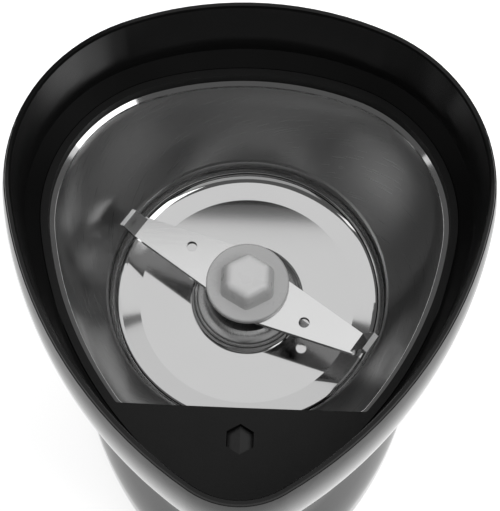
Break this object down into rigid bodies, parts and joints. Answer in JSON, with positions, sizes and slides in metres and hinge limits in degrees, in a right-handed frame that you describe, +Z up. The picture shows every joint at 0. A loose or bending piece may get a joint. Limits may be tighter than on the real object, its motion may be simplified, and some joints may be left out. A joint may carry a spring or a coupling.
{
  "type": "electric spice grinder",
  "caption": "Waisted countertop spice grinder without its lid: rounded-triangle housing, steel bowl, two-armed bent blade, motor and lid safety plunger.",
  "frame": {"origin": "on the ground, below the middle of the housing's outline", "axes": "+Z up along the spindle, -Y to the narrow nose with the plunger shelf, +X to the right seen from the nose"},
  "size_m": [0.0904, 0.0974, 0.1223],
  "materials": {
    "gloss_black": "polished black housing",
    "satin_black": "fine satin black",
    "base_black": "plain black",
    "bowl_steel": "drawn and brushed stainless sheet",
    "blade_steel": "ground stainless",
    "pale_nylon": "pale grey nylon",
    "seal_rubber": "black rubber",
    "foot_rubber": "black rubber",
    "machine_steel": "ground steel",
    "brass": "plain brass",
    "sintered_bronze": "oil-filled sintered bronze",
    "cast_aluminium": "die cast",
    "lamination_steel": "stacked sheets",
    "enamelled_copper": "enamelled copper wire",
    "commutator_copper": "bare copper bars",
    "carbon": "pressed carbon",
    "spring_steel": "spring wire",
    "zinc_screw": "zinc plated",
    "black_nylon": "black nylon",
    "plunger_black": "satin black",
    "switch_case": "black thermoset",
    "switch_red": "red button",
    "fuse_case": "pale ceramic sleeve",
    "terminal_white": "white nylon",
    "capacitor_yellow": "yellow box"
  },
  "bodies": {
    "body": {"outer_housing": "gloss_black", "bowl_deck": "satin_black", "steel_bowl": "bowl_steel", "bowl_gasket": "seal_rubber", "shaft_seal": "seal_rubber", "upper_bearing": "sintered_bronze", "lower_bearing": "sintered_bronze", "thrust_pad": "machine_steel", "upper_bracket": "cast_aluminium", "lower_bracket": "cast_aluminium", "stator_core": "lamination_steel", "field_coils": "enamelled_copper", "carbon_brushes": "carbon", "brush_holders": "brass", "brush_springs": "spring_steel", "motor_bolts": "zinc_screw", "motor_grommets": "seal_rubber", "motor_screws": "zinc_screw", "plunger_spring": "spring_steel", "switch_body": "switch_case", "switch_screws": "zinc_screw", "thermal_fuse": "fuse_case", "base_plate": "base_black", "base_screws": "zinc_screw", "rubber_feet": "foot_rubber", "cord_gland": "seal_rubber", "terminal_block": "terminal_white", "terminal_screws": "brass", "noise_capacitor": "capacitor_yellow"},
    "spindle": {"drive_shaft": "machine_steel", "armature_core": "lamination_steel", "armature_winding": "enamelled_copper", "commutator": "commutator_copper", "cooling_fan": "black_nylon", "blade_collar": "black_nylon", "blade": "blade_steel", "hub_nut": "pale_nylon", "hub_nut_insert": "brass"},
    "plunger": {"switch_plunger": "plunger_black", "plunger_clip": "spring_steel"},
    "lever": {"switch_lever": "spring_steel"},
    "snap_button": {"switch_button": "switch_red"}
  },
  "joints": [
    {"name": "spindle_spin", "type": "hinge", "parent": "body", "child": "spindle", "pos_m": [0, 0.0056, 0.083], "axis": [0, 0, 1], "continuous": true},
    {"name": "plunger_press", "type": "slide", "parent": "body", "child": "plunger", "axis": [0, 0, -1], "range_m": [0, 0.002], "stiffness_N_per_m": 400, "springref_m": -0.002, "deforming": ["plunger_spring"]},
    {"name": "lever_tilt", "type": "hinge", "parent": "body", "child": "lever", "pos_m": [-0.0075, -0.0316, 0.08727], "axis": [0, 1, 0], "range_deg": [0, 15.4]},
    {"name": "snap_button_press", "type": "slide", "parent": "body", "child": "snap_button", "axis": [0, 0, -1], "range_m": [0, 0.00081]}
  ],
  "couplings": [
    {"joint": "lever_tilt", "follows": "plunger_press", "rad_per_m": 133.33},
    {"joint": "snap_button_press", "follows": "plunger_press", "ratio": 0.4}
  ]
}
